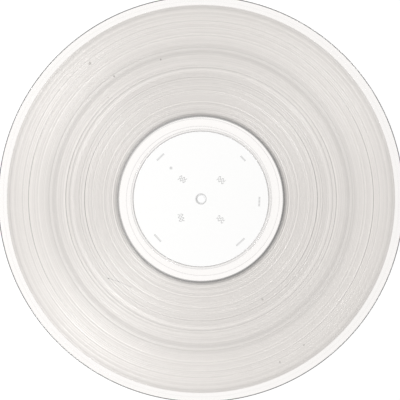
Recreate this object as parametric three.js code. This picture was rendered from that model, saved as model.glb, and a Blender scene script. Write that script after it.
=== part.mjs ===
// A twelve-inch long-playing record pressed in clear vinyl, with a white paper label on each side.
//
// Millimetres, +Z up. The record lies flat, side B down and side A up. The origin is in the middle
// of the spindle hole, in the plane that the record rests on.
//
// The disc is one pressing. Its centre and its rim are thicker than the playing area between them,
// so that the grooves touch nothing when the record lies down. Each playing area is a row of
// grooved tracks, set a groove's depth below the smooth rings that part them.

import * as THREE from "three";

// The pressing, seen from above
const discDiameter = 301.6;
const spindleHoleDiameter = 7.24;
const rimLandWidth = 6.3;
const rimSlopeWidth = 1.8;
const deadWaxWidth = 9.1;
const centreSlopeWidth = 3.4;

// The pressing, cut through
const centreThickness = 2.0;
const rimThickness = 2.0;
const playingThickness = 1.5;
const edgeRound = 0.7;

// The paper labels and the seats that the press sinks them into
const labelDiameter = 100;
const labelThickness = 0.12;
const labelRecess = 0.05;
const labelClearance = 0.1;
const lipWidth = 1.8;
const lipHeight = 0.06;
const lipFlank = 0.15;

// The tracks of each side from the rim inwards. The last track of a side fills what is left.
const grooveDepth = 0.05;
const trackGapWidth = 1.5;
const trackGapFlank = 0.35;
const trackWidthsSideA = [14.0, 15.0, 9.5, 12.5];
const trackWidthsSideB = [9.5, 14.9, 18.5];

// How finely round shapes are divided
const turnSteps = 96;
const slopeSteps = 3;
const edgeSteps = 3;

const discRadius = discDiameter / 2;
const holeRadius = spindleHoleDiameter / 2;
const labelRadius = labelDiameter / 2;
const seatRadius = labelRadius + labelClearance;
const lipRadius = seatRadius + lipWidth;
const deadWaxRadius = lipRadius + deadWaxWidth;
const innerGrooveRadius = deadWaxRadius + centreSlopeWidth;
const rimLandRadius = discRadius - rimLandWidth;
const outerGrooveRadius = rimLandRadius - rimSlopeWidth;

// Heights above the middle plane of the pressing
const lipTop = centreThickness / 2;
const deadWaxTop = lipTop - lipHeight;
const seatTop = lipTop - labelRecess - labelThickness;
const rimTop = rimThickness / 2;
const gapTop = playingThickness / 2;
const grooveTop = gapTop - grooveDepth;

// The middle plane lies this far above the surface that the record rests on.
const middleHeight = Math.max(lipTop, rimTop);

const clearVinyl = new THREE.MeshStandardMaterial({
  color: 0xe2dedb,
  roughness: 0.15,
  metalness: 0,
  transparent: true,
  opacity: 0.45,
});
const labelPaper = new THREE.MeshStandardMaterial({
  color: 0xfcfbf9,
  roughness: 0.85,
  metalness: 0,
});

// A point of an outline, given by its radius and its height above the middle plane
function at(radius, height) {
  return new THREE.Vector2(radius, height);
}

// A smooth slope between two points, level at both ends
function slope(start, end) {
  const points = [];
  for (let step = 0; step <= slopeSteps; step += 1) {
    const share = step / slopeSteps;
    const radius = THREE.MathUtils.lerp(start.x, end.x, share);
    const height = THREE.MathUtils.lerp(start.y, end.y, THREE.MathUtils.smoothstep(share, 0, 1));
    points.push(at(radius, height));
  }
  return points;
}

// The rounded upper corner of the rim, a quarter of a circle from the land to the outer edge
function roundedEdge() {
  const points = [];
  for (let step = 0; step <= edgeSteps; step += 1) {
    const angle = (step / edgeSteps) * (Math.PI / 2);
    const radius = discRadius - edgeRound * (1 - Math.sin(angle));
    const height = rimTop - edgeRound * (1 - Math.cos(angle));
    points.push(at(radius, height));
  }
  return points;
}

// The smooth rings between the tracks, from the innermost outwards, each a low ridge
function trackGaps(trackWidths) {
  const points = [];
  let gapOuterRadius = outerGrooveRadius;
  for (const trackWidth of trackWidths) {
    gapOuterRadius -= trackWidth;
    const gapInnerRadius = gapOuterRadius - trackGapWidth;
    points.unshift(
      at(gapInnerRadius, grooveTop),
      at(gapInnerRadius + trackGapFlank, gapTop),
      at(gapOuterRadius - trackGapFlank, gapTop),
      at(gapOuterRadius, grooveTop),
    );
    gapOuterRadius = gapInnerRadius;
  }
  return points;
}

// One face of the pressing, from the spindle hole out to the edge
function faceOutline(trackWidths) {
  return [
    at(holeRadius, seatTop),
    at(seatRadius, seatTop),
    at(seatRadius, lipTop),
    at(lipRadius, lipTop),
    at(lipRadius + lipFlank, deadWaxTop),
    ...slope(at(deadWaxRadius, deadWaxTop), at(innerGrooveRadius, grooveTop)),
    ...trackGaps(trackWidths),
    ...slope(at(outerGrooveRadius, grooveTop), at(rimLandRadius, rimTop)),
    ...roundedEdge(),
  ];
}

// A solid of revolution round the spindle axis. The outline runs anticlockwise, from the bottom
// outwards and back over the top, and closes on itself.
function turned(outline) {
  const geometry = new THREE.LatheGeometry([...outline, outline[0]], turnSteps);
  geometry.rotateX(Math.PI / 2);
  return geometry;
}

// The pressing: side A's face on top and side B's, turned over, below
function makeDisc() {
  const top = faceOutline(trackWidthsSideA);
  const bottom = faceOutline(trackWidthsSideB).map((point) => at(point.x, -point.y));
  const disc = new THREE.Mesh(turned([...bottom, ...top.reverse()]), clearVinyl);
  disc.name = "disc";
  disc.position.z = middleHeight;
  return disc;
}

// A paper label, a flat ring punched with the disc. Its lower face is at the given height.
function makeLabel(name, lowerFace) {
  const upperFace = lowerFace + labelThickness;
  const outline = [
    at(holeRadius, lowerFace),
    at(labelRadius, lowerFace),
    at(labelRadius, upperFace),
    at(holeRadius, upperFace),
  ];
  const label = new THREE.Mesh(turned(outline), labelPaper);
  label.name = name;
  label.position.z = middleHeight;
  return label;
}

const record = new THREE.Group();
record.add(
  makeDisc(),
  makeLabel("label_side_a", seatTop),
  makeLabel("label_side_b", -seatTop - labelThickness),
);

export default record;
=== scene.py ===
# %% [markdown]
# # A clear record from numpy surfaces
#
# This lesson dresses a twelve-inch record: one pressing of clear vinyl with a white paper label sunk into
# each side. A clear object on white has hardly any colour of its own. What the eye reads is how each slope
# and each groove bends the light, so most of the work goes into the section of the pressing and into a
# finish that follows it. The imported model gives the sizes, and every new surface is worked out from them.

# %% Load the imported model
import math

import bpy
import numpy as np
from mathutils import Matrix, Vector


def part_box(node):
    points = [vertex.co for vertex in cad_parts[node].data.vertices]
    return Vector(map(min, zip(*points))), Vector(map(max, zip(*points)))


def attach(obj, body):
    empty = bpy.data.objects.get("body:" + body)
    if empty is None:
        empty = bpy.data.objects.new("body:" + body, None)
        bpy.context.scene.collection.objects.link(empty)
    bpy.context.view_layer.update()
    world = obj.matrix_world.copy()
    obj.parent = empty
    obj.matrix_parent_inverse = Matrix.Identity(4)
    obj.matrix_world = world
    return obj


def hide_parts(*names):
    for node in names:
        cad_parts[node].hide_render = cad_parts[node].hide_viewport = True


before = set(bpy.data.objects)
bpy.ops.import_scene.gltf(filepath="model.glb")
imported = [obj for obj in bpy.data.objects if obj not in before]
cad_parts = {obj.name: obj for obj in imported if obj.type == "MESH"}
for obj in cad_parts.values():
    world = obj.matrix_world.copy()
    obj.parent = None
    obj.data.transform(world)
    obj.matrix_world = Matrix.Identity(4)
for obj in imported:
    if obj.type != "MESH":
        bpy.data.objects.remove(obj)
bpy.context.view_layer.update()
print("packed nodes:", sorted(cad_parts))

# %% [markdown]
# ## Sizes
#
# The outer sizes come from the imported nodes, so they can't drift away from them. The hole, the widths of the
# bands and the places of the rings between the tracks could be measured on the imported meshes, but they are
# known: they are those that the solids were turned from, and are written once here.

# %% The sizes that the surfaces share
MM = 0.001

disc_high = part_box("disc")[1]
label_low, label_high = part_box("label_side_a")
under_label_low, under_label_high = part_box("label_side_b")

# The pressing from above, from the hole outwards
HOLE_RADIUS = 3.62 * MM
LABEL_CLEARANCE = 0.1 * MM
LIP_WIDTH = 1.8 * MM
DEAD_WAX_WIDTH = 9.1 * MM
CENTRE_SLOPE_WIDTH = 3.4 * MM
RIM_SLOPE_WIDTH = 1.8 * MM
RIM_LAND_WIDTH = 6.3 * MM
EDGE_ROUND = 0.7 * MM

DISC_RADIUS = disc_high.x
LABEL_RADIUS = label_high.x
SEAT_RADIUS = LABEL_RADIUS + LABEL_CLEARANCE
LIP_RADIUS = SEAT_RADIUS + LIP_WIDTH
INNER_GROOVE_RADIUS = LIP_RADIUS + DEAD_WAX_WIDTH + CENTRE_SLOPE_WIDTH
RIM_LAND_RADIUS = DISC_RADIUS - RIM_LAND_WIDTH
OUTER_GROOVE_RADIUS = RIM_LAND_RADIUS - RIM_SLOPE_WIDTH

# Heights over the middle plane of the pressing
LIP_HEIGHT = 0.06 * MM
PLAYING_THICKNESS = 1.5 * MM
GROOVE_DEPTH = 0.05 * MM
MIDDLE_HEIGHT = disc_high.z / 2
LIP_TOP = disc_high.z - MIDDLE_HEIGHT
DEAD_WAX_TOP = LIP_TOP - LIP_HEIGHT
SEAT_TOP = label_low.z - MIDDLE_HEIGHT
GAP_TOP = PLAYING_THICKNESS / 2

# Middle radii of the smooth rings between the tracks
GAP_WIDTH = 1.5 * MM
GAP_FLANK = 0.35 * MM
GAPS_SIDE_A = np.array([86.45, 100.45, 111.45, 127.95]) * MM
GAPS_SIDE_B = np.array([96.05, 116.05, 132.45]) * MM

groove_span = (round(INNER_GROOVE_RADIUS / MM, 2), round(OUTER_GROOVE_RADIUS / MM, 2))
print("disc radius", round(DISC_RADIUS / MM, 2), "mm, and grooves between", groove_span, "mm")

# %% [markdown]
# ## Camera
#
# A record is drawn from straight above. An orthographic camera would show no wall of the edge at all, but
# it looks lifeless from the side. A long lens shows next to none and leaves a little perspective for other
# views. The frame is a trifle narrower than the disc, so the rim leaves the picture at all four sides.

# %% Make the camera
VIEW_WIDTH = 296.8 * MM
VIEW_CENTRE = (-0.74 * MM, -0.74 * MM)
LENS_MM = 200.0
SENSOR_MM = 36.0

scene = bpy.context.scene
lens = bpy.data.cameras.new("camera")
lens.lens = LENS_MM
lens.sensor_width = SENSOR_MM
camera = bpy.data.objects.new("camera", lens)
camera.location = (*VIEW_CENTRE, disc_high.z + VIEW_WIDTH * LENS_MM / SENSOR_MM)
scene.collection.objects.link(camera)
scene.camera = camera
print("camera height", round(camera.location.z, 4))

# %% [markdown]
# ## Helpers for node trees
#
# A finish is a chain of nodes. It could be wired by hand in the shader editor, but then nobody can read it
# back. The first helper adds one node, sets it, and plugs values or other nodes into its inputs. The others
# take up what several finishes share, so that each finish below reads from top to bottom.

# %% Helpers for finishes


def add(tree, kind, inputs=None, **settings):
    """Adds a node to the tree, with its settings, and fills the named or numbered inputs."""
    node = tree.nodes.new(kind)
    for name, value in settings.items():
        setattr(node, name, value)
    for name, value in (inputs or {}).items():
        if isinstance(value, bpy.types.NodeSocket):
            tree.links.new(value, node.inputs[name])
        else:
            node.inputs[name].default_value = value
    return node


def calculate(tree, operation, *values, clamp=False):
    """One arithmetic step between sockets or numbers. Gives the result's socket."""
    node = add(tree, "ShaderNodeMath", dict(enumerate(values)), operation=operation, use_clamp=clamp)
    return node.outputs[0]


def dimmed(tree, colour, share):
    """A colour times a share. Input 3 of a vector node that scales is its factor."""
    return add(tree, "ShaderNodeVectorMath", {0: colour, 3: share}, operation="SCALE").outputs[0]


def new_material(name):
    """An empty node material and its tree."""
    material = bpy.data.materials.new(name)
    material.use_nodes = True
    material.node_tree.nodes.clear()
    return material, material.node_tree


def linear(red, green, blue):
    """A screen colour from 0 to 255, turned into the linear light that a shader works in, by the standard
    curve: a short straight start, and a power of 2.4 after it."""
    screen = np.array([red, green, blue]) / 255
    light = np.where(screen <= 0.04045, screen / 12.92, ((screen + 0.055) / 1.055) ** 2.4)
    return (*light.tolist(), 1.0)


print("a screen grey of 128 is", round(linear(128, 128, 128)[0], 3), "of full light")

# %% [markdown]
# ## The white of the ground
#
# The ground is white paper. A clear object shows the ground through itself, so the ground has to be the
# same white to the camera, in a reflection and through the vinyl. Stronger lamps would whiten it too, but
# they would wash out the record. So it is a diffuse white that catches the shadow, with a little light of
# its own added for those three kinds of ray. It gains more of that light farther out, where the lamps reach
# less, so the ground stays white up to the horizon.

# %% The finish of the ground
FLOOR_WHITE = 0.82
FLOOR_LIFT = 0.25
FAR_LIFT = 0.45
FAR_START = 0.4
FAR_END = 2.2


def seen_rays(tree):
    """One for light that reaches the camera directly, in a reflection or through glass, else nought."""
    path = add(tree, "ShaderNodeLightPath").outputs
    direct = calculate(tree, "MAXIMUM", path["Is Camera Ray"], path["Is Glossy Ray"])
    return calculate(tree, "MAXIMUM", direct, path["Is Transmission Ray"])


def make_white_ground():
    """Diffuse white, lifted for the rays that are seen: the lift grows in a line with the distance."""
    material, tree = new_material("white_ground")
    paper = add(tree, "ShaderNodeBsdfDiffuse", {"Color": (FLOOR_WHITE, FLOOR_WHITE, FLOOR_WHITE, 1)})
    place = add(tree, "ShaderNodeTexCoord").outputs["Object"]
    distance = add(tree, "ShaderNodeVectorMath", {0: place}, operation="LENGTH").outputs["Value"]
    beyond = calculate(tree, "SUBTRACT", distance, FAR_START)
    far = calculate(tree, "DIVIDE", beyond, FAR_END - FAR_START, clamp=True)
    lift = calculate(tree, "MULTIPLY_ADD", far, FAR_LIFT, FLOOR_LIFT)
    lift = calculate(tree, "MULTIPLY", seen_rays(tree), lift)
    glow = add(tree, "ShaderNodeEmission", {"Strength": lift})
    both = add(tree, "ShaderNodeAddShader", {0: paper.outputs[0], 1: glow.outputs[0]})
    add(tree, "ShaderNodeOutputMaterial", {"Surface": both.outputs[0]})
    return material


print("lift of the ground near the record", FLOOR_LIFT, "and far out", FLOOR_LIFT + FAR_LIFT)

# %% [markdown]
# ## Floor
#
# The paper lies flat just under the record and reaches so far past it that its end is lost in the white.
# Blender's own plane would do, but four corners and one face say the same without an operator.

# %% Make the floor
FLOOR_SIZE = 8.0
FLOOR_GAP = 0.05 * MM


def make_floor():
    """A flat square just under the record."""
    half = FLOOR_SIZE / 2
    corners = [(x, y, -FLOOR_GAP) for x, y in ((-half, -half), (half, -half), (half, half), (-half, half))]
    mesh = bpy.data.meshes.new("floor")
    mesh.from_pydata(corners, [], [(0, 1, 2, 3)])
    mesh.materials.append(make_white_ground())
    floor = bpy.data.objects.new("floor", mesh)
    scene.collection.objects.link(floor)


make_floor()
print("floor", FLOOR_SIZE, "m wide,", FLOOR_GAP, "m under the record")

# %% [markdown]
# ## Light
#
# A pale even sky gives most of the light. Grooves run round the disc, so a lamp shows in them as two
# bright wedges that point at the lamp and away from it. One lamp overhead would be simpler, but it would
# light every ring alike. So soft lamps stand at the upper left, the lower left and the upper right of the
# picture, the wedges lie on the diagonals, and the top stays darker.

# %% Light the scene
SKY_LIGHT = 0.36
SKY_SEEN = 1.0
LAMP_SIZE = 0.36
LAMP_DISTANCE = 1.3
LAMP_HEIGHT_ANGLE = math.radians(60)

# Turn round the record and power of each lamp
LAMPS = {
    "upper_left": (math.radians(145), 4.5),
    "lower_left": (math.radians(230), 5.8),
    "upper_right": (math.radians(38), 2.5),
}


def make_sky():
    """A sky that lights plainly and looks white."""
    world = bpy.data.worlds.new("sky")
    world.use_nodes = True
    tree = world.node_tree
    tree.nodes.clear()
    difference = calculate(tree, "MULTIPLY", seen_rays(tree), SKY_SEEN - SKY_LIGHT)
    strength = calculate(tree, "ADD", difference, SKY_LIGHT)
    background = add(tree, "ShaderNodeBackground", {"Color": (1, 1, 1, 1), "Strength": strength})
    add(tree, "ShaderNodeOutputWorld", {"Surface": background.outputs[0]})
    scene.world = world


def make_lamp(name, turn, power):
    """A square soft lamp that looks at the spindle hole from its turn round the record."""
    light = bpy.data.lights.new(name, "AREA")
    light.size = LAMP_SIZE
    light.energy = power
    lamp = bpy.data.objects.new(name, light)
    level = math.cos(LAMP_HEIGHT_ANGLE) * LAMP_DISTANCE
    height = math.sin(LAMP_HEIGHT_ANGLE) * LAMP_DISTANCE
    lamp.location = (level * math.cos(turn), level * math.sin(turn), height)
    lamp.rotation_euler = (math.pi / 2 - LAMP_HEIGHT_ANGLE, 0, turn + math.pi / 2)
    lamp.visible_camera = False
    scene.collection.objects.link(lamp)


make_sky()
for lamp_name, (lamp_turn, lamp_power) in LAMPS.items():
    make_lamp("lamp_" + lamp_name, lamp_turn, lamp_power)
scene.view_settings.view_transform = "Standard"
print("lamps:", len(LAMPS))

# %% [markdown]
# ## Steps and bells
#
# A record is a body of revolution, so one section says nearly all of its shape. The section could be a list
# of points, but then every fine line would be points too. A height for any radius is simpler: each feature
# is a smooth step or a small bell, and they add up. The same steps and bells later say how much light
# passes.

# %% Helpers for the section
SHOULDER_START = 60.5 * MM
SHOULDER_END = 65.0 * MM


def step(radius, start, end):
    """Rises smoothly from nought at start to one at end: three times t squared less twice t cubed."""
    share = np.clip((radius - start) / (end - start), 0, 1)
    return share * share * (3 - 2 * share)


def shoulder(radius):
    """A smooth step that does most of its fall near its start: its share is one less the square of what
    is left."""
    left = 1 - np.clip((radius - SHOULDER_START) / (SHOULDER_END - SHOULDER_START), 0, 1)
    return step(1 - left * left, 0, 1)


def bell(radius, middle, width):
    """One at the middle and nearly nought a width away: e to minus the square of the distance, counted in
    half widths."""
    return np.exp(-(((radius - middle) / (width / 2)) ** 2))


quarter_way = SHOULDER_START + (SHOULDER_END - SHOULDER_START) / 4
print("a quarter of the way along, the shoulder has fallen by", round(float(shoulder(quarter_way)), 3))

# %% [markdown]
# ## The section of the pressing
#
# From the hole outwards a face has the seat of the label, the lip round it, the smooth band of the run-out,
# a shoulder down to the thinner playing area, and the rise to the thick rim. The grooved bands lie a
# groove's depth below the smooth rings that part the tracks. A hand-drawn profile with a Screw modifier
# would do for the bands, but the fine lines would be lost, so the height of a face is a function.

# %% The height of a face for any radius
STEP_WIDTH = 0.03 * MM
LIP_FLANK = 0.15 * MM
LINE_WIDTH = 0.34 * MM
LINE_DEPTH = 0.05 * MM
RIM_LINE = 146.9 * MM
RIM_LINE_DEPTH = 0.02 * MM
RELIEF_DEPTH = 0.005 * MM
RELIEF_SEED_A = 1
RELIEF_SEED_B = 2

# Length in millimetres and share of each wave that makes some grooves deeper than others
RELIEF_WAVES = [(6.5, 0.30), (3.1, 0.25), (1.7, 0.25), (1.1, 0.20)]


def loudness(radius, seed):
    """Rings of a mixed pitch, from -1 to 1: a sum of sine waves of the radius, each with a drawn phase."""
    draw = np.random.default_rng(seed)
    total = np.zeros_like(radius)
    for length, share in RELIEF_WAVES:
        total += share * np.sin(2 * np.pi * radius / (length * MM) + draw.uniform(0, 2 * np.pi))
    return total


def grooved(radius, gaps):
    """One in the grooved bands and nought on the smooth rings and outside the playing area: a product of
    steps."""
    inside = step(radius, INNER_GROOVE_RADIUS, INNER_GROOVE_RADIUS + GAP_FLANK)
    inside = inside * (1 - step(radius, OUTER_GROOVE_RADIUS - GAP_FLANK, OUTER_GROOVE_RADIUS))
    for middle in gaps:
        distance = np.abs(radius - middle)
        inside = inside * step(distance, GAP_WIDTH / 2 - GAP_FLANK, GAP_WIDTH / 2)
    return inside


def face_height(radius, gaps, seed):
    """Height of a face over the middle plane: a sum of the steps at the seat, lip, shoulder and rim, less
    the grooves and the bells of the fine lines."""
    height = SEAT_TOP + (LIP_TOP - SEAT_TOP) * step(radius, SEAT_RADIUS, SEAT_RADIUS + STEP_WIDTH)
    height -= (LIP_TOP - DEAD_WAX_TOP) * step(radius, LIP_RADIUS, LIP_RADIUS + LIP_FLANK)
    height -= (DEAD_WAX_TOP - GAP_TOP) * shoulder(radius)
    height += (LIP_TOP - GAP_TOP) * step(radius, OUTER_GROOVE_RADIUS, RIM_LAND_RADIUS)
    height -= grooved(radius, gaps) * (GROOVE_DEPTH + RELIEF_DEPTH * loudness(radius, seed))
    for middle in gaps:
        height -= LINE_DEPTH * bell(radius, middle, LINE_WIDTH)
    height -= RIM_LINE_DEPTH * bell(radius, RIM_LINE, LINE_WIDTH)
    return height


probe = np.array([20, 51, 56, 63, 90, 149]) * MM
print("heights at", probe / MM, "mm:", np.round(face_height(probe, GAPS_SIDE_A, RELIEF_SEED_A) / MM, 3))

# %% [markdown]
# ## The run-out groove
#
# After the last track the groove leaves the shoulder and winds in over the smooth band in a wide spiral, to
# the foot of the lip. It is the one line of this section that is no circle, so the height needs the angle as
# well. The lower side's spiral is seen through the vinyl. A curve could cut it with a boolean, but the
# distance from the nearest turn of the spiral is all that the cut needs.

# %% The spiral of the lower side
RUN_OUT_PITCH = 5.6 * MM
RUN_OUT_END = math.radians(-45)
RUN_OUT_WIDTH = 0.6 * MM
RUN_OUT_DEPTH = 0.04 * MM


def run_out(radius, angle):
    """One in the groove and nought beside it: a bell of the distance to the nearest turn of the spiral,
    whose radius starts at the lip and grows by the pitch for each turn round the axis."""
    share = (angle - RUN_OUT_END) / (2 * np.pi) % 1
    past_first = radius[:, None] - LIP_RADIUS - RUN_OUT_PITCH * share
    turn = np.clip(np.round(past_first / RUN_OUT_PITCH), 0, None)
    on_band = 1 - step(radius, SHOULDER_START, SHOULDER_START + RUN_OUT_WIDTH)
    return on_band[:, None] * bell(past_first, turn * RUN_OUT_PITCH, RUN_OUT_WIDTH)


quarter_turns = np.arange(4) * np.pi / 2
print("groove at 56 mm, by quarter turn:", np.round(run_out(np.array([56 * MM]), quarter_turns), 2))

# %% [markdown]
# ## Where the section is sampled
#
# A ring of faces costs the same at any radius, so an even spacing would waste most of them. The rings are
# spent where the section bends: close together at a lip or a fine line, wider in the grooved bands, and
# widest where it is flat. Side B has more of them on its smooth band, for the spiral.

# %% Choose the radii
LINE_SPAN = 0.88 * MM
LINE_RINGS = 7
FLANK_RINGS = 5
SHOULDER_RINGS = 18
RIM_RISE_RINGS = 11
HOLE_BORDER = 0.1 * MM
PAPER_BORDER = 0.4 * MM
LAND_BORDER = 0.3 * MM
CLOSEST_RINGS = 0.04 * MM

# Rings at the label's seat, counted in step widths, and at the lip, counted in flank widths
SEAT_RINGS = np.array([0, 0.5, 1, 4, 10, 15, 20, 27])
LIP_RINGS = np.array([-1.5, -0.5, 0, 0.33, 0.66, 1, 1.5, 3])

# Soft lines of side A past the shoulder and beside some tracks, where the cutter's pitch changed
PITCH_LINES = np.array([65.3, 97.65, 109.2, 113.2]) * MM

# Spacing on the smooth band and in the grooved bands of each side
SMOOTH_SPACING_A = 2.0 * MM
SMOOTH_SPACING_B = 0.17 * MM
BAND_SPACING_A = 0.45 * MM
BAND_SPACING_B = 0.9 * MM


def sample_radii(gaps, smooth_spacing, band_spacing):
    """Radii of one face from the hole to the start of the rounded edge, in order and without doubles."""
    fine = np.linspace(-0.5, 0.5, LINE_RINGS) * LINE_SPAN
    parts = [
        np.array([HOLE_RADIUS, HOLE_RADIUS + HOLE_BORDER, LABEL_RADIUS - PAPER_BORDER, LABEL_RADIUS]),
        SEAT_RADIUS + SEAT_RINGS * STEP_WIDTH,
        LIP_RADIUS + LIP_RINGS * LIP_FLANK,
        np.arange(LIP_RADIUS + LIP_RINGS[-1] * LIP_FLANK, SHOULDER_START, smooth_spacing),
        np.linspace(SHOULDER_START, SHOULDER_END, SHOULDER_RINGS),
        np.arange(INNER_GROOVE_RADIUS, OUTER_GROOVE_RADIUS, band_spacing),
        np.linspace(OUTER_GROOVE_RADIUS, RIM_LAND_RADIUS, RIM_RISE_RINGS),
        DISC_RADIUS - EDGE_ROUND + np.array([-LAND_BORDER, 0]),
    ]
    parts += [middle + fine for middle in [*gaps, RIM_LINE]]
    for middle in gaps:
        for side in (-1, 1):
            edge = middle + side * (GAP_WIDTH / 2 - GAP_FLANK / 2)
            parts.append(edge + np.linspace(-0.5, 0.5, FLANK_RINGS) * GAP_FLANK)
    radii = np.unique(np.round(np.concatenate(parts), 6))
    close = np.diff(radii, prepend=-1) < CLOSEST_RINGS
    at_seat = np.abs(radii - SEAT_RADIUS) < 2 * STEP_WIDTH
    return radii[~close | at_seat]


radii_side_a = sample_radii([*GAPS_SIDE_A, *PITCH_LINES], SMOOTH_SPACING_A, BAND_SPACING_A)
radii_side_b = sample_radii(GAPS_SIDE_B, SMOOTH_SPACING_B, BAND_SPACING_B)
print("rings on side A", len(radii_side_a), "and on side B", len(radii_side_b))

# %% [markdown]
# ## Turning the section into a surface
#
# Blender has a Spin tool and a Screw modifier for this, but both need clean-up afterwards. A grid of two
# parameters is direct: one runs along the closed section and the other round the axis. The last row and
# the last column join the first ones, so the skin has no seam and no open edge.

# %% Turn a closed section


def ring_points(radius, height, turns):
    """Points of a turned surface: x is radius times cosine, y is radius times sine, and z is the height of
    the ring or of the point."""
    angle = np.arange(turns) * (2 * np.pi / turns)
    x = np.outer(radius, np.cos(angle))
    y = np.outer(radius, np.sin(angle))
    z = np.broadcast_to(height.reshape(len(radius), -1), x.shape)
    return np.stack([x, y, z], axis=-1).reshape(-1, 3)


def ring_quads(rings, turns):
    """Corners of each face: a point, its neighbour round the axis, and those two on the next ring."""
    row, column = np.meshgrid(np.arange(rings), np.arange(turns), indexing="ij")
    next_row = (row + 1) % rings
    next_column = (column + 1) % turns
    corners = [(row, column), (row, next_column), (next_row, next_column), (next_row, column)]
    return np.stack([r * turns + c for r, c in corners], axis=-1).reshape(-1, 4)


def turned_mesh(name, radius, height, turns):
    """A closed mesh, turned from a closed section."""
    points = ring_points(radius, height, turns)
    quads = ring_quads(len(radius), turns)
    mesh = bpy.data.meshes.new(name)
    mesh.vertices.add(len(points))
    mesh.vertices.foreach_set("co", points.ravel())
    mesh.loops.add(quads.size)
    mesh.loops.foreach_set("vertex_index", quads.ravel().astype(np.int32))
    mesh.polygons.add(len(quads))
    mesh.polygons.foreach_set("loop_start", np.arange(0, quads.size, 4, dtype=np.int32))
    mesh.update(calc_edges=True)
    mesh.validate()
    mesh.shade_smooth()
    return mesh


def new_piece(name, mesh):
    """Puts a mesh into the scene as an object at the origin."""
    piece = bpy.data.objects.new(name, mesh)
    scene.collection.objects.link(piece)
    return piece


print("a section of 4 points, turned in 6 steps, has", len(ring_quads(4, 6)), "faces")

# %% [markdown]
# ## The disc
#
# The loop of the section runs out along side B, round the edge and back along side A, and the wall of the
# hole closes it. The edge is rounded with two quarter circles and a short upright band between them. A Bevel
# modifier could do that too, but it would round the lips and lines as well. Only the run-out groove needs a
# height of its own for every point, and the rest is the same all round.

# %% Make the disc
TURNS = 168
EDGE_STEPS = 9
disc_angles = np.arange(TURNS) * (2 * np.pi / TURNS)


def rounded_edge():
    """A quarter circle from the rim's land down to the upright edge, without its first point: the radius
    grows with the sine of the angle, and the height falls with one less the cosine."""
    angle = np.linspace(0, np.pi / 2, EDGE_STEPS)[1:]
    radius = DISC_RADIUS - EDGE_ROUND * (1 - np.sin(angle))
    height = LIP_TOP - EDGE_ROUND * (1 - np.cos(angle))
    return radius, height


edge_radius, edge_height = rounded_edge()
face_a = face_height(radii_side_a, GAPS_SIDE_A, RELIEF_SEED_A)
face_b = face_height(radii_side_b, GAPS_SIDE_B, RELIEF_SEED_B)
groove_b = run_out(radii_side_b, disc_angles)
section_radius = np.concatenate([radii_side_b, edge_radius, edge_radius[::-1], radii_side_a[::-1]])
section_height = np.concatenate([-face_b, -edge_height, edge_height[::-1], face_a[::-1]])
disc_height = np.repeat(section_height[:, None] + MIDDLE_HEIGHT, TURNS, axis=1)
disc_height[: len(radii_side_b)] += RUN_OUT_DEPTH * groove_b
disc_mesh = turned_mesh("clear_disc", section_radius, disc_height, TURNS)
disc = new_piece("clear_disc", disc_mesh)
print("disc triangles", 2 * len(disc_mesh.polygons))

# %% [markdown]
# ## Light lost on the slopes
#
# Clear vinyl darkens where its face is steep, because the light that should come through is bent away. On a
# ground that looks white from everywhere, a ray tracer shows little of that. So that darkening is painted
# shade:
# the disc keeps a shade for every point, as an attribute, the share of light that passes. It is worked out
# from the slope of the same section, so the painted dark lines lie exactly on the steps of the shape.

# %% The shade of the slopes
SHOULDER_LOSS = 0.6
# The swing round the disc is painted shade, as if the light fell from one side: darkest at the lower right.
SHOULDER_SWING = 0.22
SHOULDER_DARKEST = math.radians(-20)
RIM_RISE_LOSS = 0.06
EDGE_SHADE = 0.05
EDGE_SHADE_START = DISC_RADIUS - EDGE_ROUND
EDGE_SHADE_END = DISC_RADIUS - 0.56 * MM


def slope_share(height, radius):
    """How steep a step is at each radius: its slope, whichever way it goes, divided by the greatest one."""
    slope = np.abs(np.gradient(height, radius))
    return slope / slope.max()


def shoulder_shade(radius):
    """Share of light past the shoulder, as painted shade: one less its steepness, times a loss that swings
    round the disc with a cosine, as if the light fell from one side."""
    loss = SHOULDER_LOSS * (1 + SHOULDER_SWING * np.cos(disc_angles - SHOULDER_DARKEST))
    return 1 - np.outer(slope_share(shoulder(radius), radius), loss)


def rim_rise_shade(radius):
    """Share of light past the rise to the rim: one less its steepness, times a loss."""
    rise = step(radius, OUTER_GROOVE_RADIUS, RIM_LAND_RADIUS)
    return 1 - RIM_RISE_LOSS * slope_share(rise, radius)


edge_line = 1 - (1 - EDGE_SHADE) * step(edge_radius, EDGE_SHADE_START, EDGE_SHADE_END)
darkest = [round(float(share), 3) for share in (shoulder_shade(radii_side_a).min(), edge_line.min())]
print("darkest shares of the shoulder and the edge:", darkest)

# %% [markdown]
# ## Light lost in the grooves
#
# The grooved bands scatter, so they let less light through than the smooth bands, and loud passages take
# more than soft ones. Noise would give rings at random places. These are at chosen places, each a bell with
# its own width and loss, and faint arcs that fade in and out round the disc keep the bands from looking
# drawn with a compass.

# %% The shade of the rings
BAND_SHADE = 0.734
# The swing is painted shade: it makes the bands a trifle darker at the top than at the bottom.
BAND_SWING = 0.015
BAND_DARKEST = math.radians(100)
ARC_SHADE = 0.05
ARC_LENGTHS = (4.7, 2.9, 1.9, 1.4)
MOST_ARC_WAVES = 3
ARC_SEED_A = 3
ARC_SEED_B = 4

# Fine rings outside the grooved bands, painted shade at the lip, the shoulder and the rim: middle and width in
# millimetres, and loss of light
FINE_RINGS = [(51.95, 0.5, 0.3), (61.75, 1.2, 0.24), (63.2, 2.4, 0.19)]
FINE_RINGS += [(146.9, 0.7, 0.05), (147.5, 6, 0.012), (150.1, 0.3, 0.2)]

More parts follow.
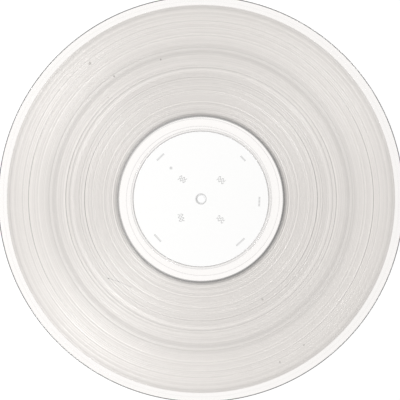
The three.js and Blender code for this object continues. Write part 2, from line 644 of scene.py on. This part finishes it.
# Rings that were cut louder or softer than the rest: middle and width in millimetres, and loss of light
LOUD_RINGS_A = [(81.5, 8, 0.022), (92, 8, 0.063), (97.65, 0.9, 0.16), (98, 3, 0.055), (109.2, 3.2, 0.17)]
LOUD_RINGS_A += [(113.3, 2.4, 0.12), (121.5, 7, -0.05), (132, 9, -0.03), (142.3, 2.0, 0.1)]
LOUD_RINGS_B = [(67, 8, 0.05), (88, 6, 0.015), (96.05, 1.3, -0.36), (100.4, 2.4, -0.065), (104, 7, 0.005)]
LOUD_RINGS_B += [(124, 6, -0.015), (127.4, 3, -0.055), (132.45, 1.3, -0.05), (137, 5, -0.04)]


def ring_loss(radius, rings):
    """Light that some rings take, and others give back: a sum of bells."""
    return sum(loss * bell(radius, middle * MM, width * MM) for middle, width, loss in rings)


def arcs(radius, seed):
    """Rings that fade in and out round the disc: twice the mean of sine waves of the radius, each times a
    slow sine wave of the angle, raised to lie between nought and one."""
    draw = np.random.default_rng(seed)
    total = np.zeros((len(radius), TURNS))
    for length in ARC_LENGTHS:
        ring = np.sin(2 * np.pi * radius / (length * MM) + draw.uniform(0, 2 * np.pi))
        turn = np.sin(draw.integers(1, MOST_ARC_WAVES + 1) * disc_angles + draw.uniform(0, 2 * np.pi))
        total += np.outer(ring, 0.5 + 0.5 * turn)
    return 2 * total / len(ARC_LENGTHS)


def face_shade(radius, band, rings, seed):
    """Share of light that passes each point: the product of what slopes, fine rings, bands and arcs let by.
    A cosine of the angle makes the bands a trifle darker at the top than at the bottom, as painted shade."""
    share = rim_rise_shade(radius) * (1 - ring_loss(radius, FINE_RINGS))
    share = share * (1 - band * (1 - BAND_SHADE + ring_loss(radius, rings)))
    uneven = ARC_SHADE * arcs(radius, seed) + BAND_SWING * np.cos(disc_angles - BAND_DARKEST)
    return share[:, None] * (1 - band[:, None] * uneven) * shoulder_shade(radius)


print("loud and soft rings:", len(LOUD_RINGS_A), "on side A and", len(LOUD_RINGS_B), "on side B")

# %% [markdown]
# ## The fine lines of side A
#
# Three of the smooth rings have a thin dark line in the middle and a bright one at each side, and two more
# lines lie past the shoulder. The dark lines are painted shade and the bright ones painted highlights, for the
# way these steps bend light. All show plainly at the left and right and fade towards the top and bottom. The
# painted shade round the label, where the vinyl stands up from its seat, is darkest at the left. Rings of even
# paint would not change round the disc, but a mirror-like line does, so each painted loss is scaled by a
# cosine.

# %% The shade of the fine lines
GAP_LINES = [86.45, 100.45, 127.95]
# The dark lines are painted shade and the bright lines beside them painted highlights.
GAP_LINE_WIDTH = 0.5
GAP_LINE_LOSS = 0.8
GAP_SIDE_APART = 1.05
GAP_SIDE_WIDTH = 0.9
GAP_SIDE_HIGHLIGHT = 0.27
GAP_LINE_FADE = 0.9
# The line round the label is painted shade, darkest at the left.
LABEL_LINE_RADIUS = 50.35 * MM
LABEL_LINE_WIDTH = 0.8 * MM
LABEL_LINE_LOSS = 0.55
LABEL_LINE_SWING = 0.3

# Middle and width in millimetres, and loss of light, of the dark and the bright line past the shoulder:
# painted shade and a painted highlight
SHOULDER_LINES = [(64.8, 0.6, 0.6), (65.6, 0.8, -0.5)]


def gap_lines(radius):
    """Share of light past the thin lines, as painted shade and painted highlights: one less their bells,
    scaled by a blend of one and the cosine squared."""
    rings = SHOULDER_LINES + [(middle, GAP_LINE_WIDTH, GAP_LINE_LOSS) for middle in GAP_LINES]
    for side in (-GAP_SIDE_APART, GAP_SIDE_APART):
        rings += [(middle + side, GAP_SIDE_WIDTH, -GAP_SIDE_HIGHLIGHT) for middle in GAP_LINES]
    plainness = 1 - GAP_LINE_FADE + GAP_LINE_FADE * np.cos(disc_angles) ** 2
    return 1 - np.outer(ring_loss(radius, rings), plainness)


def label_line(radius):
    """Share of light past the line round the label, as painted shade: one less a bell, whose loss is a blend
    of one and minus the cosine."""
    loss = LABEL_LINE_LOSS - LABEL_LINE_SWING * np.cos(disc_angles)
    return 1 - np.outer(bell(radius, LABEL_LINE_RADIUS, LABEL_LINE_WIDTH), loss)


lines_a = gap_lines(radii_side_a) * label_line(radii_side_a)
print("darkest share in the fine lines", round(float(lines_a.min()), 3))

# %% [markdown]
# ## Where the vinyl scatters
#
# Colour and roughness need to know how grooved each point is, so the disc keeps a second attribute: one in
# the bands, nought on the smooth parts, and a little less than one on the smooth rings. Two materials could
# share the disc instead, but then the border would be a hard line. Both attributes are then written in the
# order of the section: side B, the edge, and side A.

# %% Give the disc its shade and its bands
# The run-out groove is darkened as painted shade, for the light that it bends away.
RUN_OUT_LOSS = 0.35
GAP_CLEARNESS = 0.1
SCATTER_START = 61.9 * MM
SCATTER_END = 144.4 * MM
SCATTER_BORDER = 0.8 * MM


def scattering(radius, gaps):
    """How much a ring scatters: a step up past the shoulder times a step down at the rim, and a share less
    on the smooth rings."""
    inside = step(radius, SCATTER_START, SCATTER_START + SCATTER_BORDER)
    inside = inside * (1 - step(radius, SCATTER_END - SCATTER_BORDER, SCATTER_END))
    playing = (radius > INNER_GROOVE_RADIUS + GAP_FLANK) & (radius < OUTER_GROOVE_RADIUS - GAP_FLANK)
    return inside * (1 - GAP_CLEARNESS * playing * (1 - grooved(radius, gaps)))


def set_attribute(mesh, name, values):
    """Gives every point its value, in the order of the rows of rings."""
    attribute = mesh.attributes.new(name, "FLOAT", "POINT")
    attribute.data.foreach_set("value", values.ravel().astype(np.float32))


band_a = scattering(radii_side_a, GAPS_SIDE_A)
band_b = scattering(radii_side_b, GAPS_SIDE_B)
shade_a = face_shade(radii_side_a, band_a, LOUD_RINGS_A, ARC_SEED_A) * lines_a
shade_b = face_shade(radii_side_b, band_b, LOUD_RINGS_B, ARC_SEED_B) * (1 - RUN_OUT_LOSS * groove_b)
edge_shade = np.repeat(np.concatenate([edge_line, edge_line[::-1]])[:, None], TURNS, axis=1)
section_shade = np.concatenate([shade_b, edge_shade, shade_a[::-1]])
section_band = np.concatenate([band_b, np.zeros(2 * len(edge_radius)), band_a[::-1]])
set_attribute(disc_mesh, "shade", section_shade)
set_attribute(disc_mesh, "band", np.repeat(section_band, TURNS))
print("shade from", round(float(section_shade.min()), 3), "to", round(float(section_shade.max()), 3))

# %% [markdown]
# ## Masks for small marks
#
# Dirt and print are thin and small, with no shape worth a mesh. They are drawn by distance in the finish: a
# dot is where a point is near its middle, and a stroke is a long narrow box turned to its slant. An image
# texture could hold them too, but it blurs close up, and a distance stays sharp at any size.

# %% Helpers for masks


def local_place(tree, middle, turn=0.0):
    """Object coordinates in millimetres, with the middle moved to nought and the slant turned level."""
    place = add(tree, "ShaderNodeTexCoord").outputs["Object"]
    mapping = add(tree, "ShaderNodeMapping", {"Vector": place}, vector_type="TEXTURE")
    mapping.inputs["Location"].default_value = (middle[0] * MM, middle[1] * MM, 0)
    mapping.inputs["Rotation"].default_value = (0, 0, turn)
    mapping.inputs["Scale"].default_value = (MM, MM, MM)
    split = add(tree, "ShaderNodeSeparateXYZ", {0: mapping.outputs[0]}).outputs
    return split["X"], split["Y"]


def within(tree, distance, half, soft):
    """One inside half the width, nought outside, with a soft border."""
    inside = calculate(tree, "SUBTRACT", half, distance)
    return calculate(tree, "ADD", calculate(tree, "DIVIDE", inside, soft), 0.5, clamp=True)


def box_mask(tree, x, y, half_x, half_y, soft):
    """A soft-edged box round the local middle."""
    in_x = within(tree, calculate(tree, "ABSOLUTE", x), half_x, soft)
    in_y = within(tree, calculate(tree, "ABSOLUTE", y), half_y, soft)
    return calculate(tree, "MINIMUM", in_x, in_y)


def length_of(tree, x, y):
    """The distance from the local middle: the square root of x squared plus y squared."""
    squares = calculate(tree, "ADD", calculate(tree, "MULTIPLY", x, x), calculate(tree, "MULTIPLY", y, y))
    return calculate(tree, "SQRT", squares)


def dot_mask(tree, x, y, radius, soft):
    """A soft-edged dot round the local middle."""
    return within(tree, length_of(tree, x, y), radius, soft)


def joined(tree, masks):
    """The strongest of several masks at each point."""
    strongest = masks[0]
    for mask in masks[1:]:
        strongest = calculate(tree, "MAXIMUM", strongest, mask)
    return strongest


trial = bpy.data.node_groups.new("trial", "ShaderNodeTree")
dot_mask(trial, *local_place(trial, (0, 0)), radius=1.0, soft=0.2)
print("a dot takes", len(trial.nodes), "nodes")
bpy.data.node_groups.remove(trial)

# %% [markdown]
# ## Wear
#
# Small specks of dirt and a hairline scratch lie on side A. Each could be a piece of its own, but a mask
# costs only a few nodes and can't stand proud. Dirt is matt and lets no light through, and the scratch, two
# narrow boxes that meet at a slight bend, only dims the clear plastic.

# %% Where the dirt and the scratch are
# Across, along and radius of each speck in millimetres from the spindle
SPECKS = [(-82.5, 100.7, 1.15), (-29.9, 103.5, 0.62), (-68.9, 75.3, 0.42), (45.5, -74.5, 0.76)]
SPECKS += [(58.5, -121.1, 0.78), (76.3, -108.5, 0.68), (-64.5, 91.0, 0.75), (-68.6, -59.0, 0.45)]
SPECK_SOFT = 0.35
SPECK_LOSS = 0.15

# Each leg of the scratch: middle across and along, length, and turn in degrees
SCRATCH_LEGS = [(-64.9, -60.1, 10.1, -17.1), (-55.8, -63.6, 9.5, -25.6)]
SCRATCH_WIDTH = 0.5
SCRATCH_SOFT = 0.3
SCRATCH_LOSS = 0.33


def wear_masks(tree, height):
    """Where dirt and the scratch are on side A, which is where the height is over the middle of the disc."""
    side_a = calculate(tree, "GREATER_THAN", height, MIDDLE_HEIGHT)
    specks = [dot_mask(tree, *local_place(tree, (x, y)), radius, SPECK_SOFT) for x, y, radius in SPECKS]
    legs = []
    for middle_x, middle_y, length, turn in SCRATCH_LEGS:
        x, y = local_place(tree, (middle_x, middle_y), math.radians(turn))
        legs.append(box_mask(tree, x, y, length / 2, SCRATCH_WIDTH / 2, SCRATCH_SOFT))
    dirt = calculate(tree, "MULTIPLY", joined(tree, specks), side_a)
    return dirt, calculate(tree, "MULTIPLY", joined(tree, legs), side_a)


print("specks:", len(SPECKS), "and legs of the scratch:", len(SCRATCH_LEGS))

# %% [markdown]
# ## The finest rings
#
# A side has hundreds of groove turns, far too many for a mesh. They look like fine rings of an uneven
# strength. A wave texture would be too even, so they are noise that depends on the radius alone. The wear
# is then taken off the same shade.

# %% The shade of the vinyl
RING_PITCH = 1.0 * MM
RING_DETAIL = 2.0
RING_SHADE = 0.34


def ring_waves(tree, radius):
    """Fine rings of an uneven pitch: one-dimensional noise of the radius."""
    ring_number = calculate(tree, "DIVIDE", radius, RING_PITCH)
    inputs = {"W": ring_number, "Scale": 1.0, "Detail": RING_DETAIL}
    return add(tree, "ShaderNodeTexNoise", inputs, noise_dimensions="1D").outputs[0]


def worn_shade(tree, band, rings, dirt, scratch):
    """The shade of the section, plus the swing of the fine rings in the bands, less dirt and scratch."""
    shade = add(tree, "ShaderNodeAttribute", attribute_name="shade").outputs["Fac"]
    swing = calculate(tree, "MULTIPLY", calculate(tree, "SUBTRACT", rings, 0.5), RING_SHADE)
    ringed = calculate(tree, "ADD", shade, calculate(tree, "MULTIPLY", swing, band))
    worn = calculate(tree, "MULTIPLY", dirt, SPECK_LOSS)
    worn = calculate(tree, "MAXIMUM", worn, calculate(tree, "MULTIPLY", scratch, SCRATCH_LOSS))
    return calculate(tree, "SUBTRACT", ringed, worn, clamp=True)


print("about", round((OUTER_GROOVE_RADIUS - INNER_GROOVE_RADIUS) / RING_PITCH), "fine rings on a side")

# %% [markdown]
# ## Clear vinyl
#
# Vinyl of this kind is a clear plastic with a refractive index of about 1.54. The smooth bands are nearly
# colourless, and the grooved bands look pale grey and a little warm, and are rougher. A plain see-through
# mix would do for flat sheet, but the lips and lines are seen by how they bend light, so this plastic bends
# it too. Rays from lamps pass straight through with a slight loss, because a path tracer would otherwise
# make the ground under clear plastic as dark as under metal.

# %% Make the vinyl finish
CLEAR_COLOUR = linear(251, 248.5, 246.5)
BAND_COLOUR = linear(247, 242, 237.5)
CLEAR_ROUGHNESS = 0.04
BAND_ROUGHNESS = 0.3
VINYL_INDEX = 1.54
VINYL_PASSING = 0.97
RING_DEPTH = 0.22 * MM


def let_lamps_through(tree, plastic):
    """The plastic as it is seen, but plain see-through for shadows and for scattered light."""
    path = add(tree, "ShaderNodeLightPath").outputs
    straight = calculate(tree, "MAXIMUM", path["Is Shadow Ray"], path["Is Diffuse Ray"])
    pale = (VINYL_PASSING, VINYL_PASSING, VINYL_PASSING, 1)
    passing = add(tree, "ShaderNodeBsdfTransparent", {"Color": pale}).outputs[0]
    return add(tree, "ShaderNodeMixShader", {0: straight, 1: plastic, 2: passing}).outputs[0]


def make_vinyl():
    """Clear plastic, shaded and roughened by the rings of its own section. Inputs 6 and 7 of a Mix node are
    its two colours, and its output 2 is the mixed one."""
    material, tree = new_material("clear_vinyl")
    band = add(tree, "ShaderNodeAttribute", attribute_name="band").outputs["Fac"]
    place = add(tree, "ShaderNodeTexCoord").outputs["Object"]
    split = add(tree, "ShaderNodeSeparateXYZ", {0: place}).outputs
    rings = ring_waves(tree, length_of(tree, split["X"], split["Y"]))
    dirt, scratch = wear_masks(tree, split["Z"])
    shade = worn_shade(tree, band, rings, dirt, scratch)
    colours = {"Factor": band, 6: CLEAR_COLOUR, 7: BAND_COLOUR}
    tint = add(tree, "ShaderNodeMix", colours, data_type="RGBA").outputs[2]
    added_roughness = calculate(tree, "MULTIPLY", band, BAND_ROUGHNESS - CLEAR_ROUGHNESS)
    rough = calculate(tree, "MAXIMUM", calculate(tree, "ADD", added_roughness, CLEAR_ROUGHNESS), dirt)
    grooves = calculate(tree, "MULTIPLY", rings, band)
    bump = add(tree, "ShaderNodeBump", {"Height": grooves, "Strength": 1.0, "Distance": RING_DEPTH})
    plastic = {
        "Base Color": dimmed(tree, tint, shade),
        "Roughness": rough,
        "IOR": VINYL_INDEX,
        "Transmission Weight": calculate(tree, "SUBTRACT", 1.0, dirt),
        "Normal": bump.outputs[0],
    }
    seen = add(tree, "ShaderNodeBsdfPrincipled", plastic).outputs[0]
    add(tree, "ShaderNodeOutputMaterial", {"Surface": let_lamps_through(tree, seen)})
    return material


disc_mesh.materials.append(make_vinyl())
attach(disc, "root")
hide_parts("disc")
print("vinyl nodes:", len(disc_mesh.materials[0].node_tree.nodes))

# %% [markdown]
# ## The labels
#
# A label is a ring of uncoated paper, baked dry and fused into the seat. It is white and matt with a faint
# tooth. A thin disc could be a plain cylinder, but the press leaves the paper's edges softly rounded, so it
# is turned from a section too.

# %% Make the labels
LABEL_TURNS = 192
LABEL_SINK = 0.01 * MM
LABEL_EDGE = 0.035 * MM
LABEL_BORDER = 0.15 * MM
LABEL_EDGE_STEPS = 5
LABEL_RINGS = 12


def label_section(back, front):
    """A flat ring's section: out along its back, round a quarter circle at the rim, in along its front,
    and round another quarter circle at the hole. It runs the other way when the front is the lower face."""
    up = 1 if front > back else -1
    angle = np.linspace(0, np.pi / 2, LABEL_EDGE_STEPS)
    corner = LABEL_EDGE * (1 - np.cos(angle))
    corner_height = front - up * LABEL_EDGE * (1 - np.sin(angle))
    inner = HOLE_RADIUS + LABEL_BORDER
    outer = LABEL_RADIUS - LABEL_BORDER
    back_face = np.array([HOLE_RADIUS, inner, outer, LABEL_RADIUS])
    front_face = np.linspace(outer, inner, LABEL_RINGS)
    radius = np.concatenate([back_face, LABEL_RADIUS - corner, front_face, HOLE_RADIUS + corner[::-1]])
    levels = [np.full(len(back_face), back), corner_height, np.full(LABEL_RINGS, front), corner_height[::-1]]
    return radius[::up], np.concatenate(levels)[::up]


def make_label(name, node, back, front):
    """One paper label, standing for the node."""
    radius, height = label_section(back, front)
    piece = new_piece(name, turned_mesh(name, radius, height, LABEL_TURNS))
    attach(piece, "root")
    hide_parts(node)
    return piece


upper_label = make_label("paper_label_a", "label_side_a", label_low.z + LABEL_SINK, label_high.z)
lower_label = make_label("paper_label_b", "label_side_b", under_label_high.z - LABEL_SINK, under_label_low.z)
print("label triangles", 2 * len(upper_label.data.polygons))

# %% [markdown]
# ## Marks near the hole
#
# The label of side A is white and nearly bare. Near the hole it has four tiny pale grey marks, one in each
# quarter, each of two short wavy strokes. They could be thin curves laid on the paper, but ink has no
# thickness, so they are masks in the finish.

# %% The marks near the hole
# Middle across and along, turn in degrees and pitch of the waves of each mark
MARKS = [(-13.8, 14.7, -30, 2.3), (14.9, 14.0, -35, 2.6), (-14.8, -13.9, -75, 2.5), (14.5, -15.1, -35, 2.8)]
MARK_LENGTH = 5.8
MARK_SWING = 0.8
MARK_ROWS_APART = 2.1
MARK_STROKE = 0.55
INK_SOFT = 0.2


def wavy_strokes(tree, middle, turn, pitch):
    """Two strokes along the same sine wave, one above the other: the distance from the nearer wave, measured
    square to its slope, is less than half the stroke. The slope of the wave is a cosine."""
    along, across = local_place(tree, middle, turn)
    pace = 2 * math.pi / pitch
    phase = calculate(tree, "MULTIPLY", along, pace)
    wave = calculate(tree, "MULTIPLY", calculate(tree, "SINE", phase), MARK_SWING)
    slope = calculate(tree, "MULTIPLY", calculate(tree, "COSINE", phase), MARK_SWING * pace)
    stretch = calculate(tree, "SQRT", calculate(tree, "MULTIPLY_ADD", slope, slope, 1.0))
    from_middle = calculate(tree, "ABSOLUTE", calculate(tree, "SUBTRACT", across, wave))
    upright = calculate(tree, "ABSOLUTE", calculate(tree, "SUBTRACT", from_middle, MARK_ROWS_APART / 2))
    stroke = within(tree, calculate(tree, "DIVIDE", upright, stretch), MARK_STROKE / 2, INK_SOFT)
    ends = within(tree, calculate(tree, "ABSOLUTE", along), MARK_LENGTH / 2, INK_SOFT)
    return calculate(tree, "MINIMUM", stroke, ends)


print("marks:", len(MARKS), "of", MARK_LENGTH, "mm")

# %% [markdown]
# ## Rows of ticks near the edge
#
# Five fine rows of ticks run along the label's edge. One box for each tick would take many nodes. A row is
# one box instead, cut into ticks by folding the place along it at every pitch.

# %% The rows of ticks
# Turn in degrees and number of ticks of each row
TICK_ROWS = [(-2.5, 7), (-47.5, 8), (-138, 7), (134, 7), (44, 5)]
TICK_RADIUS = 43.3
TICK_PITCH = 1.05
TICK_WIDTH = 0.63
TICK_HEIGHT = 1.35


def tick_row(tree, turn, count):
    """A row of ticks that runs round the label: the place along the row, folded at every pitch."""
    middle = (TICK_RADIUS * math.cos(turn), TICK_RADIUS * math.sin(turn))
    outwards, along = local_place(tree, middle, turn)
    half_row = count * TICK_PITCH / 2
    shifted = calculate(tree, "ADD", along, half_row)
    past_tick = calculate(tree, "FLOORED_MODULO", shifted, TICK_PITCH)
    from_middle = calculate(tree, "ABSOLUTE", calculate(tree, "SUBTRACT", past_tick, TICK_PITCH / 2))
    ticks = within(tree, from_middle, TICK_WIDTH / 2, INK_SOFT)
    row = box_mask(tree, along, outwards, half_row, TICK_HEIGHT / 2, INK_SOFT)
    return calculate(tree, "MINIMUM", ticks, row)


def print_mask(tree):
    """All the print of side A: the four marks near the hole and the rows of ticks near the edge."""
    masks = [wavy_strokes(tree, (x, y), math.radians(turn), pitch) for x, y, turn, pitch in MARKS]
    masks += [tick_row(tree, math.radians(turn), count) for turn, count in TICK_ROWS]
    return joined(tree, masks)


print("rows:", len(TICK_ROWS), "with", sum(count for _, count in TICK_ROWS), "ticks")

# %% [markdown]
# ## Label paper
#
# The paper is matt and white, with a tooth far finer than the print. Round the punched hole it has painted
# shade, grey where the wall of the hole shades it, and side A has one faint smudge. A cut-out at the hole
# could be a ring of its own, but the painted shade fades into the white, so it is a soft dot round the hole.

# %% Make the paper finish
PAPER_WHITE = (0.97, 0.968, 0.962, 1)
PAPER_ROUGHNESS = 0.8
TOOTH_SCALE = 900.0
TOOTH_DETAIL = 4.0
TOOTH_STRENGTH = 0.2
TOOTH_DEPTH = 0.05 * MM
# Painted shade round the punched hole, where the wall of the hole shades the paper
HOLE_SHADE_WIDTH = 0.55
HOLE_SHADE_SOFT = 0.5
HOLE_SHADE_LOSS = 0.34
INK_LOSS = 0.42
SMUDGE_MIDDLE = (-22.3, 23.0)
SMUDGE_RADIUS = 1.0
SMUDGE_LOSS = 0.34


def paper_loss(tree, printed):
    """Light that the paper's grey parts take: the strongest of the painted shade round the hole, the ink
    and the smudge.
    """
    x, y = local_place(tree, (0, 0))
    painted_hole_shade = dot_mask(tree, x, y, HOLE_RADIUS / MM + HOLE_SHADE_WIDTH, HOLE_SHADE_SOFT)
    losses = [calculate(tree, "MULTIPLY", painted_hole_shade, HOLE_SHADE_LOSS)]
    if printed:
        smudge = dot_mask(tree, *local_place(tree, SMUDGE_MIDDLE), SMUDGE_RADIUS, SMUDGE_RADIUS)
        losses.append(calculate(tree, "MULTIPLY", print_mask(tree), INK_LOSS))
        losses.append(calculate(tree, "MULTIPLY", smudge, SMUDGE_LOSS))
    return joined(tree, losses)


def make_paper(name, printed):
    """Matt white paper with a faint tooth, with painted shade at the punched hole, and printed on side A."""
    material, tree = new_material(name)
    kept = calculate(tree, "SUBTRACT", 1.0, paper_loss(tree, printed))
    white = add(tree, "ShaderNodeRGB")
    white.outputs[0].default_value = PAPER_WHITE
    colour = dimmed(tree, white.outputs[0], kept)
    place = add(tree, "ShaderNodeTexCoord").outputs["Object"]
    grain = {"Vector": place, "Scale": TOOTH_SCALE, "Detail": TOOTH_DETAIL}
    tooth = add(tree, "ShaderNodeTexNoise", grain).outputs[0]
    relief = {"Height": tooth, "Strength": TOOTH_STRENGTH, "Distance": TOOTH_DEPTH}
    bump = add(tree, "ShaderNodeBump", relief).outputs[0]
    matt = {"Base Color": colour, "Roughness": PAPER_ROUGHNESS, "Normal": bump}
    paper = add(tree, "ShaderNodeBsdfPrincipled", matt)
    add(tree, "ShaderNodeOutputMaterial", {"Surface": paper.outputs[0]})
    return material


upper_label.data.materials.append(make_paper("printed_paper", True))
lower_label.data.materials.append(make_paper("plain_paper", False))
print("materials:", sorted(material.name for material in bpy.data.materials))

# %% [markdown]
#
# The dressed record has to stay inside the imported model's box. It could be measured by eye in the viewport.
# The last step only brings the scene up to date.

# %% Bring the scene up to date
bpy.context.view_layer.update()
